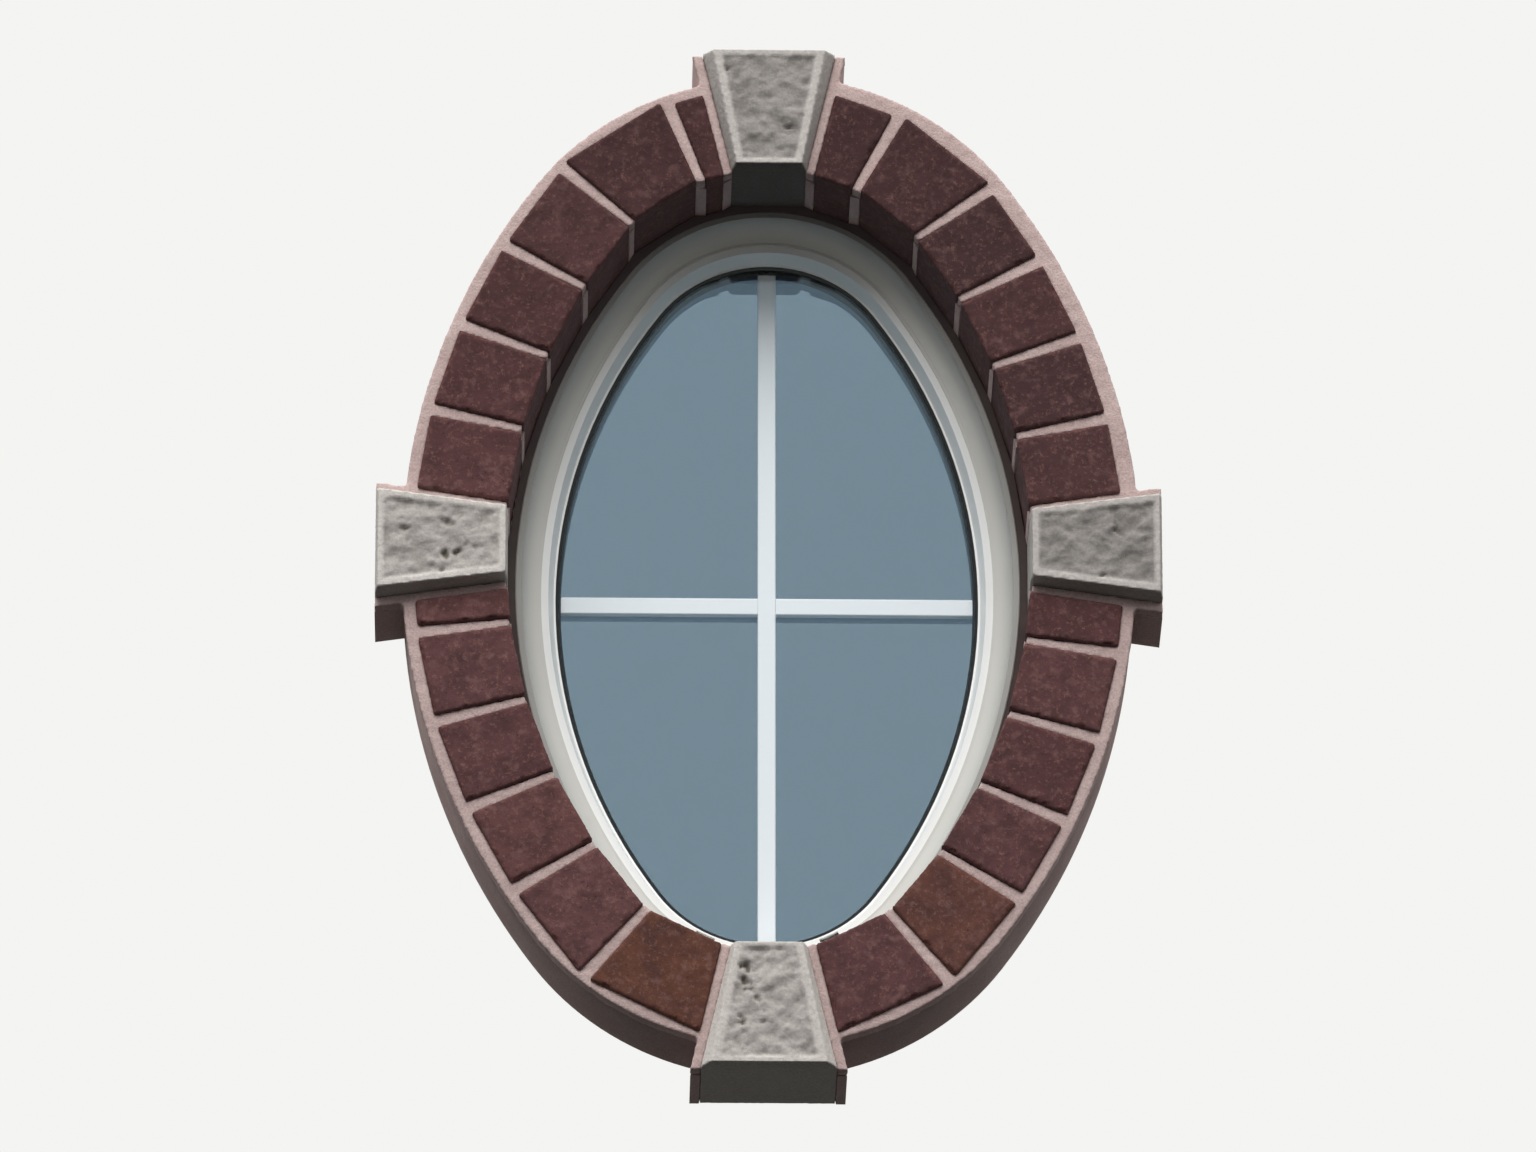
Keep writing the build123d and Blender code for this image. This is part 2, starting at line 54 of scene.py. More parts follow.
# Keystones: four wedges of pale limestone, bedded in the brickwork and standing 13 mm proud of it.
# The mason pitched the face with a chisel, so it is rough and pitted, and dressed a smoother margin round it.
KEY_FRONT = 0.128       # the pitched face, forward of the window's middle
KEY_LENGTH = 0.127      # from the opening outwards
KEY_MARGIN = 0.007      # width of the dressed margin
KEY_GRAIN = 0.002       # width of the skin's small faces
PITCH_RAMP = 0.003      # over which the margin falls to the pitched face, across it and in depth
PROUD_DEPTH = 0.1145    # the part of the stone forward of this stands proud of the bricks
CHISEL_DEPTH = 0.0032
PIT_DEPTH = 0.004
GRIT_DEPTH = 0.0003
SAWN = 0.55             # how pale the sawn sides are between the pitched face and the dressed margin
STONE_DARKENING = 0.6              # how much darker a stone is drawn, each by its own amount below
ARCH_HEIGHT, ARCH_SHADE, UNDER_SHADE = 0.3, 1.2, 0.3  # painted shade on the undersides: most under the arch, less under the others
keystones = {
    # name: way out from the oval's centre, middle of the end at the opening, half the front face's width there
    # and at the far end, and how much darker the stone is drawn
    "keystone_top": (Vector((0, 0, 1)), Vector((0, 0, 0.405)), 0.032, 0.055, 1.0),
    "keystone_right": (Vector((1, 0, 0)), Vector((0.250, 0, 0.008)), 0.0355, 0.052, 1.1),
    "keystone_bottom": (Vector((0, 0, -1)), Vector((0, 0, -0.405)), 0.032, 0.055, 0.0),
    "keystone_left": (Vector((-1, 0, 0)), Vector((-0.250, 0, 0.008)), 0.0355, 0.052, 0.15),
}


def linear(code):
    """An sRGB hex colour as linear red, green, blue and alpha."""
    channels = [int(code[n:n + 2], 16) / 255 for n in (0, 2, 4)]
    return [c / 12.92 if c <= 0.04045 else ((c + 0.055) / 1.055) ** 2.4 for c in channels] + [1.0]


def add(tree, kind, settings=(), inputs=()):
    """Adds a node, gives it its settings, and fills its inputs with values or links."""
    node = tree.nodes.new(kind)
    for name, value in dict(settings).items():
        setattr(node, name, value)
    for name, value in dict(inputs).items():
        if isinstance(value, bpy.types.NodeSocket):
            tree.links.new(value, node.inputs[name])
        else:
            node.inputs[name].default_value = value
    return node


def new_material(name):
    """A new material, its node tree, its shader and the place of each point on the object."""
    material = bpy.data.materials.new(name)
    material.use_nodes = True
    tree = material.node_tree
    place = add(tree, "ShaderNodeTexCoord").outputs["Object"]
    return material, tree, tree.nodes["Principled BSDF"], place


def skin(node, grain):
    """A copy of a CAD solid as one skin of even small faces, its arrises worn round."""
    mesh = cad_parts[node].data.copy()
    bm = bmesh.new()
    bm.from_mesh(mesh)
    bmesh.ops.remove_doubles(bm, verts=bm.verts, dist=1e-5)
    bm.to_mesh(mesh)
    bm.free()
    return worn(node + "_skin", mesh, grain)


def worn(name, mesh, grain):
    """An object from a closed mesh, remade in even faces and smoothed once, with both modifiers applied."""
    piece = bpy.data.objects.new(name, mesh)
    bpy.context.scene.collection.objects.link(piece)
    remesh = piece.modifiers.new("even", "REMESH")
    remesh.mode = "VOXEL"
    remesh.voxel_size = grain
    smooth = piece.modifiers.new("worn", "SMOOTH")
    smooth.factor = 0.5
    smooth.iterations = 1
    shape = bpy.context.evaluated_depsgraph_get()
    piece.data = bpy.data.meshes.new_from_object(piece.evaluated_get(shape))
    piece.modifiers.clear()
    piece.data.materials.clear()
    for face in piece.data.polygons:
        face.use_smooth = True
    return piece


def with_normals(piece):
    """Each vertex with its normal as it was before any vertex moved."""
    vertices = piece.data.vertices
    return zip(vertices, [vertex.normal.copy() for vertex in vertices])


def keep(piece, attribute, values):
    """Stores one number per vertex for the material to read."""
    layer = piece.data.attributes.new(attribute, "FLOAT", "POINT")
    layer.data.foreach_set("value", values)


def clamp(value):
    return max(0.0, min(1.0, value))


# Limestone: a soft grey-beige stone with pale dressed margins, each stone darker by its own amount; its pits and
# undersides carry painted shade.
# Its grit is drawn 3 mm wide, coarser than it is, so that it shows.
limestone, tree, stone, place = new_material("limestone")
clouds = add(tree, "ShaderNodeTexNoise", {}, {
    "Vector": place, "Scale": 1 / 0.035, "Detail": 4.0, "Roughness": 0.6})
grit = add(tree, "ShaderNodeTexNoise", {}, {
    "Vector": place, "Scale": 1 / 0.003, "Detail": 3.0, "Roughness": 0.7})
body = add(tree, "ShaderNodeMix", {"data_type": "RGBA"}, {
    "Factor": clouds.outputs["Fac"], "A": linear("A19B97"), "B": linear("C3BDB7")})
margin = add(tree, "ShaderNodeAttribute", {"attribute_name": "dressed"})
dressed = add(tree, "ShaderNodeMix", {"data_type": "RGBA"}, {
    "Factor": margin.outputs["Fac"], "A": body.outputs["Result"], "B": linear("D0CAC4")})
# Painted shade: the pits and the deeper chisel hollows are drawn darker.
hollow = add(tree, "ShaderNodeAttribute", {"attribute_name": "pit"})
pitted = add(tree, "ShaderNodeMix", {"data_type": "RGBA"}, {
    "Factor": hollow.outputs["Fac"], "A": dressed.outputs["Result"], "B": linear("6B655B")})
speck = add(tree, "ShaderNodeMapRange", {}, {
    "Value": grit.outputs["Fac"], "From Min": 0.3, "From Max": 0.7, "To Min": 0.82, "To Max": 1.12})
grainy = add(tree, "ShaderNodeMix", {"data_type": "RGBA", "blend_type": "MULTIPLY"}, {
    "Factor": 1.0, "A": pitted.outputs["Result"], "B": speck.outputs["Result"]})
# Each stone's own darkening, with painted shade on the undersides.
darkening_and_shade_value = add(tree, "ShaderNodeAttribute", {"attribute_name": "darkening_and_shade"})
veil = add(tree, "ShaderNodeMapRange", {}, {
    "Value": darkening_and_shade_value.outputs["Fac"], "From Max": 1.4, "To Min": 1.0, "To Max": 0.16})
darkened_and_shaded = add(tree, "ShaderNodeMix", {"data_type": "RGBA", "blend_type": "MULTIPLY"}, {
    "Factor": 1.0, "A": grainy.outputs["Result"], "B": veil.outputs["Result"]})
relief = add(tree, "ShaderNodeBump", {}, {"Height": grit.outputs["Fac"], "Strength": 0.5, "Distance": 0.001})
tree.links.new(darkened_and_shaded.outputs["Result"], stone.inputs["Base Color"])
tree.links.new(relief.outputs["Normal"], stone.inputs["Normal"])
stone.inputs["Roughness"].default_value = 0.9

for node, (out, middle, near, far, darkening) in keystones.items():
    piece = skin(node, KEY_GRAIN)
    across = Vector((out.z, 0, out.x))
    dressing, pit_shades, darkening_and_shades = [], [], []
    for vertex, normal in with_normals(piece):
        spot = vertex.co - middle
        reach, side = spot.dot(out), abs(spot.dot(across))
        half = near + (far - near) * clamp(reach / KEY_LENGTH)
        inside = min(reach, KEY_LENGTH - reach, half - side) - KEY_MARGIN
        pitched = clamp(inside / PITCH_RAMP) if vertex.co.y < PITCH_RAMP - KEY_FRONT else 0.0
        broad = noise.fractal(vertex.co * 55, 1.0, 2.0, 3)
        chisel = clamp(0.5 + broad) * CHISEL_DEPTH
        warped = vertex.co * 62 + Vector((broad, 0, -broad)) * 0.7
        patch = clamp(noise.noise(vertex.co * 26) * 4 - 0.3)
        pit = clamp((0.36 - noise.voronoi(warped)[0][0]) / 0.25) * patch
        fine = (noise.noise(vertex.co * 260) + 1) * GRIT_DEPTH
        depth = pitched * (chisel + pit * PIT_DEPTH) + fine
        vertex.co -= normal * depth
        dressing.append(1.0 - pitched if vertex.co.y < -PROUD_DEPTH else SAWN)
        # Painted shade: downward faces are drawn darker, most on the top keystone under the arch.
        under = clamp(-normal.z) * (ARCH_SHADE if vertex.co.z > ARCH_HEIGHT else UNDER_SHADE)
        darkening_and_shades.append(STONE_DARKENING * darkening * (0.5 + 0.5 * pitched) + under)
        # Painted shade in the pits and the deeper chisel hollows, by their depth.
        pit_shades.append(pitched * clamp(pit + 0.45 * clamp(chisel / CHISEL_DEPTH - 0.5)))
    keep(piece, "dressed", dressing)
    keep(piece, "pit", pit_shades)
    keep(piece, "darkening_and_shade", darkening_and_shades)
    piece.name = node + "_stone"
    piece.data.materials.append(limestone)
    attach(piece, "root")
    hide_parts(node)


# Bricks: 24 clay bricks cut to a taper on the saw and laid radially, six in each quarter.
# The faces are wire-cut and sanded before firing, the arrises chip, and each brick has fired a little differently.
BRICK_FRONT = 0.115     # the bricks' faces, forward of the window's middle
BRICK_GRAIN = 0.0021
ARRIS_BAND = 0.006      # how far back from the face an arris chips
WAVE_DEPTH, SAND_DEPTH, CHIP_DEPTH = 0.0006, 0.0003, 0.003
# the first brick of each quarter, clockwise from the top, and the span that its bricks' firing is drawn from
# Painted shade: the spans run lower in the upper quarters, so the upper bricks come out darker.
FIRING_AND_SHADE_SPANS = ((1, 0.0, 0.25), (7, 0.3, 0.6), (13, 0.45, 0.75), (19, 0.25, 0.5))
BROWN_BRICKS = {"brick_11": 0.92, "brick_13": 1.0}

# Fired clay: burgundy with brown and plum clouds, dark iron spots and paler sand, quite matt.
# The upper bricks are drawn darker towards the top, a painted shade. The sand is drawn 4 mm wide to show.
clay, tree, fired, place = new_material("fired_clay")
heat_and_shade = add(tree, "ShaderNodeAttribute", {"attribute_name": "firing_and_shade"})
tone = add(tree, "ShaderNodeValToRGB", {}, {"Fac": heat_and_shade.outputs["Fac"]})
shades = ((0.0, "452D2F"), (0.35, "543536"), (0.7, "624142"), (1.0, "603C2F"))
for step, (position, code) in enumerate(shades):
    stop = tone.color_ramp.elements[step] if step < 2 else tone.color_ramp.elements.new(position)
    stop.position = position
    stop.color = linear(code)
clouds = add(tree, "ShaderNodeTexNoise", {}, {
    "Vector": place, "Scale": 1 / 0.02, "Detail": 5.0, "Roughness": 0.65})
cloud = add(tree, "ShaderNodeMapRange", {}, {
    "Value": clouds.outputs["Fac"], "From Min": 0.4, "From Max": 0.68, "To Min": 0.0, "To Max": 0.7})
smoked = add(tree, "ShaderNodeMix", {"data_type": "RGBA"}, {
    "Factor": cloud.outputs["Result"], "A": tone.outputs["Color"], "B": linear("3E2828")})
spots = add(tree, "ShaderNodeTexVoronoi", {}, {"Vector": place, "Scale": 1 / 0.008})
spot = add(tree, "ShaderNodeMapRange", {}, {
    "Value": spots.outputs["Distance"], "From Min": 0.08, "From Max": 0.16, "To Min": 0.6, "To Max": 0.0})
ironed = add(tree, "ShaderNodeMix", {"data_type": "RGBA"}, {
    "Factor": spot.outputs["Result"], "A": smoked.outputs["Result"], "B": linear("2C1E1E")})
sand = add(tree, "ShaderNodeTexNoise", {}, {
    "Vector": place, "Scale": 1 / 0.004, "Detail": 4.0, "Roughness": 0.75})
sanded = add(tree, "ShaderNodeMapRange", {}, {
    "Value": sand.outputs["Fac"], "From Min": 0.54, "From Max": 0.72, "To Min": 0.0, "To Max": 0.6})
dusted = add(tree, "ShaderNodeMix", {"data_type": "RGBA"}, {
    "Factor": sanded.outputs["Result"], "A": ironed.outputs["Result"], "B": linear("8E6A60")})
blooms = add(tree, "ShaderNodeTexNoise", {}, {
    "Vector": place, "Scale": 1 / 0.011, "Detail": 3.0, "Roughness": 0.6})
bloom = add(tree, "ShaderNodeMapRange", {}, {
    "Value": blooms.outputs["Fac"], "From Min": 0.54, "From Max": 0.72, "To Min": 0.0, "To Max": 0.45})
bloomed = add(tree, "ShaderNodeMix", {"data_type": "RGBA"}, {
    "Factor": bloom.outputs["Result"], "A": dusted.outputs["Result"], "B": linear("7E5E5B")})
chips = add(tree, "ShaderNodeAttribute", {"attribute_name": "chip"})
chipped = add(tree, "ShaderNodeMix", {"data_type": "RGBA"}, {
    "Factor": chips.outputs["Fac"], "A": bloomed.outputs["Result"], "B": linear("7C4A40")})
height = add(tree, "ShaderNodeSeparateXYZ", {}, {"Vector": place}).outputs["Z"]
# Painted shade: the colour darkens towards the top of the ring, down to 0.66.
top_shade = add(tree, "ShaderNodeMapRange", {}, {
    "Value": height, "From Min": 0.05, "From Max": 0.45, "To Min": 1.0, "To Max": 0.66})
top_shaded = add(tree, "ShaderNodeMix", {"data_type": "RGBA", "blend_type": "MULTIPLY"}, {
    "Factor": 1.0, "A": chipped.outputs["Result"], "B": top_shade.outputs["Result"]})
relief = add(tree, "ShaderNodeBump", {}, {"Height": sand.outputs["Fac"], "Strength": 0.6, "Distance": 0.001})
tree.links.new(top_shaded.outputs["Result"], fired.inputs["Base Color"])
tree.links.new(relief.outputs["Normal"], fired.inputs["Normal"])
fired.inputs["Roughness"].default_value = 0.92

kiln = random.Random(24)
for number in range(1, 25):
    node = f"brick_{number:02d}"
    piece = skin(node, BRICK_GRAIN)
    least, most = [span[1:] for span in FIRING_AND_SHADE_SPANS if number >= span[0]][-1]
    firing_and_shade = BROWN_BRICKS.get(node, kiln.uniform(least, most))
    wear = []
    for vertex, normal in with_normals(piece):
        front = clamp(-normal.y)
        away = Vector((-vertex.co.x, 0, -vertex.co.z)).normalized()
        reveal = clamp((normal.dot(away) - 0.5) / 0.3)
        face = max(front, reveal)
        waves = (noise.fractal(vertex.co * 45, 1.0, 2.0, 3) + 1) * WAVE_DEPTH
        grit = (noise.noise(vertex.co * 230) + 1) * SAND_DEPTH
        near_arris = clamp(1 - abs(front - 0.6) / 0.38) if vertex.co.y < ARRIS_BAND - BRICK_FRONT else 0.0
        chip = near_arris * clamp(noise.fractal(vertex.co * 95, 1.0, 2.0, 2) * 2.2 - 0.25)
        vertex.co -= normal * (face * (waves + grit) + chip * CHIP_DEPTH)
        wear.append(clamp(chip * 0.8 + near_arris * 0.15))
    keep(piece, "chip", wear)
    keep(piece, "firing_and_shade", [firing_and_shade] * len(piece.data.vertices))
    piece.name = node + "_clay"
    piece.data.materials.append(clay)
    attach(piece, "root")
    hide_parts(node)


# Mortar: sand and lime mortar pointed between the bricks and round them, four millimetres back from their faces.
# It was struck with a jointing iron, so it is fairly smooth, with sand grains and a few small holes.
MORTAR_CUT = -0.096     # the pointing in front of this plane is made anew, and the bedding behind it is left alone
MORTAR_GRAIN = 0.0024
MORTAR_SPREAD = 0.0014  # the pointing fills the bricks' worn edges
GRAIN_DEPTH = 0.0005
REVEAL_BAND = 0.002     # mortar this near the opening keeps back from it
# The opening is an oval of four arcs: two ends of one radius, and two sides of the radius that meets them smoothly.
HALF_WIDTH, HALF_HEIGHT, END_RADIUS = 0.250, 0.405, 0.175
squares = HALF_WIDTH ** 2 + HALF_HEIGHT ** 2
side_radius = (squares - 2 * HALF_HEIGHT * END_RADIUS) / (2 * (HALF_WIDTH - END_RADIUS))
side_shift = side_radius - HALF_WIDTH
end_shift = HALF_HEIGHT - END_RADIUS
corner = atan2(end_shift, side_shift)


def from_edge(x, z):
    """Distance inside the brick opening's edge, negative in the brickwork."""
    x, z = abs(x), abs(z)
    if atan2(z, x + side_shift) <= corner:
        return side_radius - hypot(x + side_shift, z)
    return END_RADIUS - hypot(x, z - end_shift)


# Lime mortar: pinkish beige with paler and darker sand grains, matt and dusty. The grains are drawn 2 mm wide to show.
mortar, tree, lime, place = new_material("lime_mortar")
clouds = add(tree, "ShaderNodeTexNoise", {}, {"Vector": place, "Scale": 1 / 0.04, "Detail": 4.0})
body = add(tree, "ShaderNodeMix", {"data_type": "RGBA"}, {
    "Factor": clouds.outputs["Fac"], "A": linear("AE9693"), "B": linear("D3BDB8")})
sand = add(tree, "ShaderNodeTexNoise", {}, {
    "Vector": place, "Scale": 1 / 0.0022, "Detail": 2.0, "Roughness": 0.8})
grain = add(tree, "ShaderNodeMapRange", {}, {
    "Value": sand.outputs["Fac"], "From Min": 0.3, "From Max": 0.7, "To Min": 0.78, "To Max": 1.15})
sandy = add(tree, "ShaderNodeMix", {"data_type": "RGBA", "blend_type": "MULTIPLY"}, {
    "Factor": 1.0, "A": body.outputs["Result"], "B": grain.outputs["Result"]})
relief = add(tree, "ShaderNodeBump", {}, {"Height": sand.outputs["Fac"], "Strength": 0.6, "Distance": 0.001})
tree.links.new(sandy.outputs["Result"], lime.inputs["Base Color"])
tree.links.new(relief.outputs["Normal"], lime.inputs["Normal"])
lime.inputs["Roughness"].default_value = 0.95

for quarter in ("upper_right", "lower_right", "lower_left", "upper_left"):
    node = "mortar_" + quarter
    halves = []
    for front in (True, False):
        bm = bmesh.new()
        bm.from_mesh(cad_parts[node].data)
        bmesh.ops.remove_doubles(bm, verts=bm.verts, dist=1e-5)
        bmesh.ops.bisect_plane(
            bm, geom=bm.verts[:] + bm.edges[:] + bm.faces[:], dist=1e-6, plane_co=(0, MORTAR_CUT, 0),
            plane_no=(0, 1, 0), clear_outer=front, clear_inner=not front)
        bmesh.ops.holes_fill(bm, edges=[edge for edge in bm.edges if edge.is_boundary])
        bm.normal_update()
        if front:
            for vertex in bm.verts:
                way = Vector((vertex.normal.x, 0, vertex.normal.z)).normalized()
                if from_edge(vertex.co.x, vertex.co.z) > -REVEAL_BAND:
                    way = Vector((vertex.co.x, 0, vertex.co.z)).normalized()
                vertex.co += way * MORTAR_SPREAD
                vertex.co.x = max(cad_box[0].x, min(cad_box[1].x, vertex.co.x))
                vertex.co.z = max(cad_box[0].z, min(cad_box[1].z, vertex.co.z))
        mesh = bpy.data.meshes.new(node + "_half")
        bm.to_mesh(mesh)
        bm.free()
        halves.append(mesh)
    pointing, bedding = halves
    piece = worn(node + "_joints", pointing, MORTAR_GRAIN)
    for vertex, normal in with_normals(piece):
        rough = (noise.fractal(vertex.co * 120, 1.0, 2.0, 2) + 1) * GRAIN_DEPTH
        vertex.co -= normal * rough
    bm = bmesh.new()
    bm.from_mesh(piece.data)
    bm.from_mesh(bedding)
    bm.to_mesh(piece.data)
    bm.free()
    piece.data.materials.clear()
    piece.data.materials.append(mortar)
    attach(piece, "root")
    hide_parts(node)


# Vinyl frame, brickmould and glazing beads: hollow extrusions bent to the oval and welded, white right through.
# The frame is pushed in from outside, the brickmould snaps into a groove in it, and the beads snap in from the room.
# Vinyl: a clean white on the frame and the beads, greyed by sun and rain on the brickmould. Both have a soft sheen
# and a faint ripple, and are drawn darker the further forward they stand, next to the brick reveal: a painted shade.
beads = ["glazing_bead_" + side for side in ("top", "right", "bottom", "left")]
for name, nodes, dark, pale in (
        ("white_vinyl", ["frame"] + beads, "F0F1EE", "FBFCFB"),
        ("weathered_vinyl", ["brickmould"], "CFCEC7", "DAD9D4")):
    vinyl, tree, shell, place = new_material(name)
    clouds = add(tree, "ShaderNodeTexNoise", {}, {"Vector": place, "Scale": 1 / 0.09, "Detail": 3.0})
    body = add(tree, "ShaderNodeMix", {"data_type": "RGBA"}, {
        "Factor": clouds.outputs["Fac"], "A": linear(dark), "B": linear(pale)})
    # Painted shade: darker the further forward, down to 0.6 at the brickmould's front.
    depth = add(tree, "ShaderNodeSeparateXYZ", {}, {"Vector": place}).outputs["Y"]
    forward_shade = add(tree, "ShaderNodeMapRange", {}, {
        "Value": depth, "From Min": -0.038, "From Max": -0.013, "To Min": 0.6, "To Max": 1.0})
    forward_shaded = add(tree, "ShaderNodeMix", {"data_type": "RGBA", "blend_type": "MULTIPLY"}, {
        "Factor": 1.0, "A": body.outputs["Result"], "B": forward_shade.outputs["Result"]})
    haze = add(tree, "ShaderNodeMapRange", {}, {
        "Value": clouds.outputs["Fac"], "From Min": 0.3, "From Max": 0.7, "To Min": 0.34, "To Max": 0.46})
    ripple = add(tree, "ShaderNodeTexNoise", {}, {"Vector": place, "Scale": 1 / 0.012, "Detail": 2.0})
    relief = add(tree, "ShaderNodeBump", {}, {"Height": ripple.outputs["Fac"], "Strength": 0.08, "Distance": 0.001})
    tree.links.new(forward_shaded.outputs["Result"], shell.inputs["Base Color"])
    tree.links.new(haze.outputs["Result"], shell.inputs["Roughness"])
    tree.links.new(relief.outputs["Normal"], shell.inputs["Normal"])
    for node in nodes:
        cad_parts[node].material_slots[0].material = vinyl


# Nailing fin: a thinner, flexible vinyl strip pushed into the frame's groove and nailed to the sheathing.
# Flexible vinyl: a greyer white than the frame, with a dull sheen.


def two_tones(name, nodes, patch, detail, dark, pale, roughness, bump=None):
    """A moulded or painted finish for CAD nodes: two close tones in patches, with a bump's strength and depth."""
    material, tree, surface, place = new_material(name)
    patches = add(tree, "ShaderNodeTexNoise", {}, {"Vector": place, "Scale": 1 / patch, "Detail": detail})
    body = add(tree, "ShaderNodeMix", {"data_type": "RGBA"}, {
        "Factor": patches.outputs["Fac"], "A": linear(dark), "B": linear(pale)})
    tree.links.new(body.outputs["Result"], surface.inputs["Base Color"])
    surface.inputs["Roughness"].default_value = roughness
    if bump:
        relief = add(tree, "ShaderNodeBump", {}, {
            "Height": patches.outputs["Fac"], "Strength": bump[0], "Distance": bump[1]})
        tree.links.new(relief.outputs["Normal"], surface.inputs["Normal"])
    for node in nodes:
        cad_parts[node].material_slots[0].material = material


two_tones("flexible_vinyl", ["nailing_fin"], 0.05, 3.0, "CFCFCB", "DCDCD8", 0.5)


# Sealant and backer rod: silicone gunned round the brickmould on a foam rod, and tooled with a wet finger.
# Silicone sealant: grey-brown and softly smeared. Polyethylene foam: grey, matt, with closed cells 1.5 mm wide.
two_tones("silicone_sealant", ["perimeter_sealant"], 0.02, 3.0, "352B29", "4C3F3C", 0.55, (0.4, 0.001))

foam, tree, rod, place = new_material("polyethylene_foam")
cells = add(tree, "ShaderNodeTexVoronoi", {}, {"Vector": place, "Scale": 1 / 0.0015})
body = add(tree, "ShaderNodeMix", {"data_type": "RGBA"}, {
    "Factor": cells.outputs["Distance"], "A": linear("7E8083"), "B": linear("9C9EA0")})
relief = add(tree, "ShaderNodeBump", {}, {
    "Height": cells.outputs["Distance"], "Strength": 0.5, "Distance": 0.0005})
tree.links.new(body.outputs["Result"], rod.inputs["Base Color"])
tree.links.new(relief.outputs["Normal"], rod.inputs["Normal"])
rod.inputs["Roughness"].default_value = 0.85
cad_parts["backer_rod"].material_slots[0].material = foam


# Gaskets and blocks: extruded rubber lips that press on the glass, and hard rubber blocks that carry it.
# Black rubber: nearly black with a faint grey bloom, and a dull sheen.
two_tones(
    "black_rubber", ["exterior_gasket", "interior_gasket", "setting_blocks", "location_blocks"],
    0.03, 3.0, "101112", "1D1F20", 0.6)


# Spacer and edge seal: a silicone foam strip between the panes, with a bead of sealant trowelled level round it.
# Silicone foam: black, dull and finely pitted. Polysulfide seal: dark grey, with the trowel's broad marks.
two_tones("silicone_foam", ["spacer"], 0.0012, 2.0, "0D0E0E", "191A1B", 0.8, (0.3, 0.0005))
two_tones("polysulfide_seal", ["edge_seal"], 0.009, 2.0, "232527", "34373A", 0.8, (0.3, 0.0005))


# Sealed unit: two 3 mm panes of float glass held 13 mm apart by the spacer, the inner one toned dark: a painted shade
# that stands for the dark room behind the window.
# A thin metal coating on the inner pane, on its face to the space, mirrors the sky and, near the top, the dark reveal.
# Glass: bare float glass mirrors 4 % straight on and all at a glance, and the coating some five times as much.
GLASS_MIRROR = 0.04
GLANCE = 5.0            # how fast the mirror grows towards a glance
# Painted shade: the inner pane's tone 808F9C darkens what is seen through it, for the dark room behind.
for node, tint_and_room_shade, name, coating in (
        ("outer_pane", "FFFFFF", "clear_glass", 1.0), ("inner_pane", "808F9C", "painted_room_shade_glass", 5.1)):
    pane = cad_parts[node]
    middle = sum(corner[1] for corner in pane.bound_box) / 8
    glass, tree, bare, place = new_material(name)
    tree.nodes.remove(bare)
    through = add(tree, "ShaderNodeBsdfTransparent", {}, {"Color": linear(tint_and_room_shade)})
    mirror = add(tree, "ShaderNodeBsdfGlossy", {}, {"Color": linear("D1EFFF"), "Roughness": 0.0})
    lean = add(tree, "ShaderNodeLayerWeight", {}, {"Blend": 0.5})
    steep = add(tree, "ShaderNodeMath", {"operation": "POWER"}, {0: lean.outputs["Facing"], 1: GLANCE})
    uncoated = add(tree, "ShaderNodeMath", {"operation": "MULTIPLY_ADD"}, {
        0: steep.outputs["Value"], 1: 1 - GLASS_MIRROR, 2: GLASS_MIRROR})
    depth = add(tree, "ShaderNodeSeparateXYZ", {}, {"Vector": place}).outputs["Y"]
    outside = add(tree, "ShaderNodeMath", {"operation": "LESS_THAN"}, {0: depth, 1: middle})
    metal = add(tree, "ShaderNodeMath", {"operation": "MULTIPLY_ADD"}, {
        0: outside.outputs["Value"], 1: coating - 1, 2: 1.0})
    coated = add(tree, "ShaderNodeMath", {"operation": "MULTIPLY", "use_clamp": True}, {
        0: uncoated.outputs["Value"], 1: metal.outputs["Value"]})
    sheet = add(tree, "ShaderNodeMixShader", {}, {
        0: coated.outputs["Value"], 1: through.outputs["BSDF"], 2: mirror.outputs["BSDF"]})
    tree.links.new(sheet.outputs["Shader"], tree.nodes["Material Output"].inputs["Surface"])
    pane.material_slots[0].material = glass


# Bars: painted aluminium tubes between the panes, one through bar and two half bars, plugged together with nylon.
# White paint: a clean cold white with a soft gloss and slight orange peel. Grey nylon: smooth, with faint flow marks.
two_tones(
    "white_paint", ["bar_upright", "bar_left", "bar_right"],
    0.004, 2.0, "F5FAFC", "FBFEFF", 0.3, (0.1, 0.0005))
two_tones("grey_nylon", ["bar_joiner", "bar_end_keys"], 0.006, 2.0, "8E9092", "A4A6A8", 0.45)


# Studio: the window hangs high over a pale floor, in the light of a bright overcast sky.
# A broad soft lamp stands for the sky in front and above. The floor and the world are pale to the eye and in the
# glass, but dim as light from below, so that the undersides stay dark.
FLOOR_LEVEL, FLOOR_REACH = -13.6, 150
LAMP_PLACE, LAMP_SIZE, LAMP_POWER = (-0.8, -4.6, 6.1), 6.0, 620.0
bm = bmesh.new()
bmesh.ops.create_grid(bm, x_segments=1, y_segments=1, size=FLOOR_REACH)
bmesh.ops.translate(bm, verts=bm.verts, vec=(0, 0, FLOOR_LEVEL))
mesh = bpy.data.meshes.new("floor")
bm.to_mesh(mesh)
bm.free()
floor = bpy.data.objects.new("floor", mesh)
bpy.context.scene.collection.objects.link(floor)
ground = bpy.data.materials.new("pale_floor")
ground.use_nodes = True
tree = ground.node_tree
path = add(tree, "ShaderNodeLightPath")
seen = add(tree, "ShaderNodeMath", {"operation": "MAXIMUM"}, {
    0: path.outputs["Is Camera Ray"], 1: path.outputs["Is Glossy Ray"]})
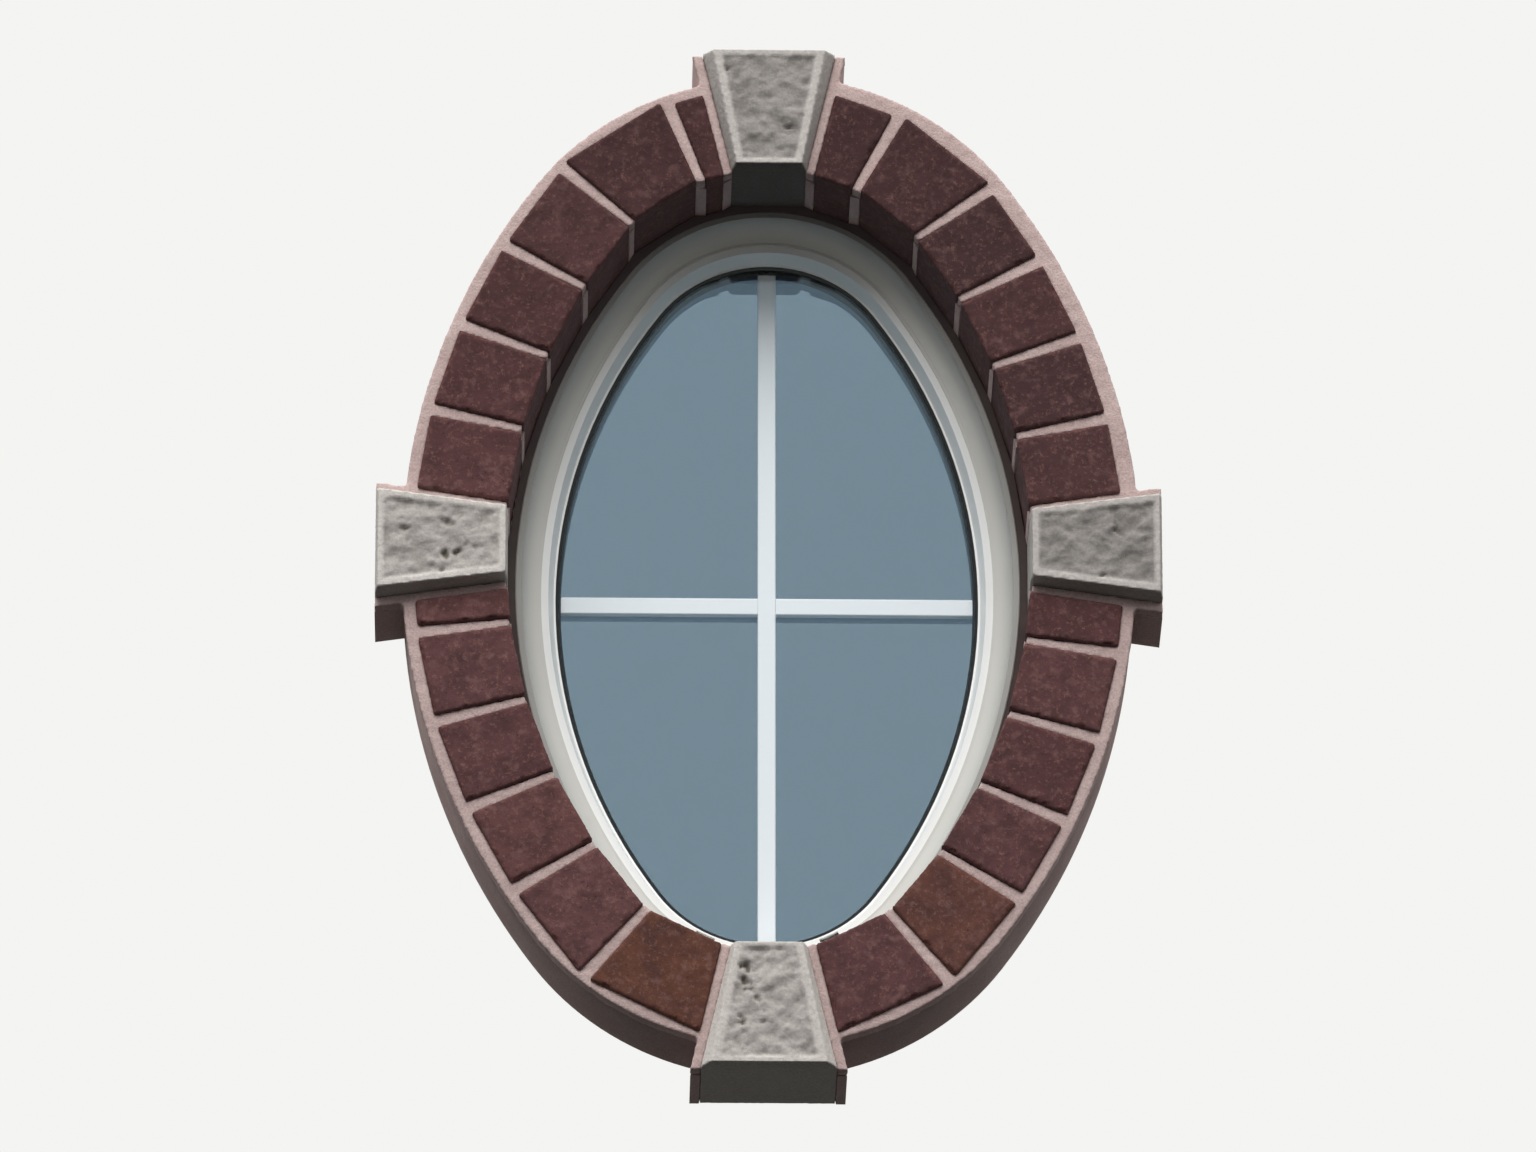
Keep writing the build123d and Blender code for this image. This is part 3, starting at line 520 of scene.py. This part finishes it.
tone = add(tree, "ShaderNodeMix", {"data_type": "RGBA"}, {
    "Factor": seen.outputs["Value"], "A": linear("2A2928"), "B": linear("EDECEA")})
tree.links.new(tone.outputs["Result"], tree.nodes["Principled BSDF"].inputs["Base Color"])
tree.nodes["Principled BSDF"].inputs["Roughness"].default_value = 0.9
floor.data.materials.append(ground)

world = bpy.data.worlds.new("sky")
bpy.context.scene.world = world
world.use_nodes = True
tree = world.node_tree
tree.nodes.clear()
way = add(tree, "ShaderNodeTexCoord").outputs["Generated"]
height = add(tree, "ShaderNodeSeparateXYZ", {}, {"Vector": way}).outputs["Z"]
level = add(tree, "ShaderNodeMapRange", {"interpolation_type": "SMOOTHSTEP"}, {
    "Value": height, "From Min": -0.08, "From Max": 0.6, "To Min": 0.04, "To Max": 1.0})
sky = add(tree, "ShaderNodeBackground", {}, {"Color": linear("FFFFFF"), "Strength": level.outputs["Result"]})
backdrop = add(tree, "ShaderNodeBackground", {}, {"Color": linear("F4F4F2"), "Strength": 1.0})
path = add(tree, "ShaderNodeLightPath")
eye = add(tree, "ShaderNodeMath", {"operation": "MAXIMUM"}, {
    0: path.outputs["Is Camera Ray"], 1: path.outputs["Is Glossy Ray"]})
look = add(tree, "ShaderNodeMath", {"operation": "MAXIMUM"}, {
    0: eye.outputs["Value"], 1: path.outputs["Is Transmission Ray"]})
both = add(tree, "ShaderNodeMixShader", {}, {
    0: look.outputs["Value"], 1: sky.outputs["Background"], 2: backdrop.outputs["Background"]})
add(tree, "ShaderNodeOutputWorld", {}, {"Surface": both.outputs["Shader"]})

lamp = bpy.data.lights.new("sky_lamp", "AREA")
lamp.shape = "DISK"
lamp.size = LAMP_SIZE
lamp.energy = LAMP_POWER
sun = bpy.data.objects.new("sky_lamp", lamp)
sun.location = LAMP_PLACE
sun.rotation_mode = "QUATERNION"
sun.rotation_quaternion = sun.location.to_track_quat("Z", "Y")
sun.visible_glossy = False
bpy.context.scene.collection.objects.link(sun)


# Camera: 13.2 m away and 24 degrees below, a degree to the left, as one looks up from the ground.
# Its long lens frames the ring of bricks and keystones.
DISTANCE = 13.2
AZIMUTH, ELEVATION = radians(-1.0), radians(-24.0)
SENSOR_WIDTH, FOCAL_LENGTH = 36.0, 322.0
RING_MIDDLE = Vector((0, -0.06, 0))
lens = bpy.data.cameras.new("camera")
lens.sensor_width = SENSOR_WIDTH
lens.lens = FOCAL_LENGTH
lens.clip_end = 200.0
camera = bpy.data.objects.new("camera", lens)
back = Vector((sin(AZIMUTH) * cos(ELEVATION), -cos(AZIMUTH) * cos(ELEVATION), sin(ELEVATION)))
camera.location = RING_MIDDLE + back * DISTANCE
camera.rotation_mode = "QUATERNION"
camera.rotation_quaternion = back.to_track_quat("Z", "Y")
bpy.context.scene.collection.objects.link(camera)
bpy.context.scene.camera = camera
bpy.context.scene.view_settings.view_transform = "Standard"
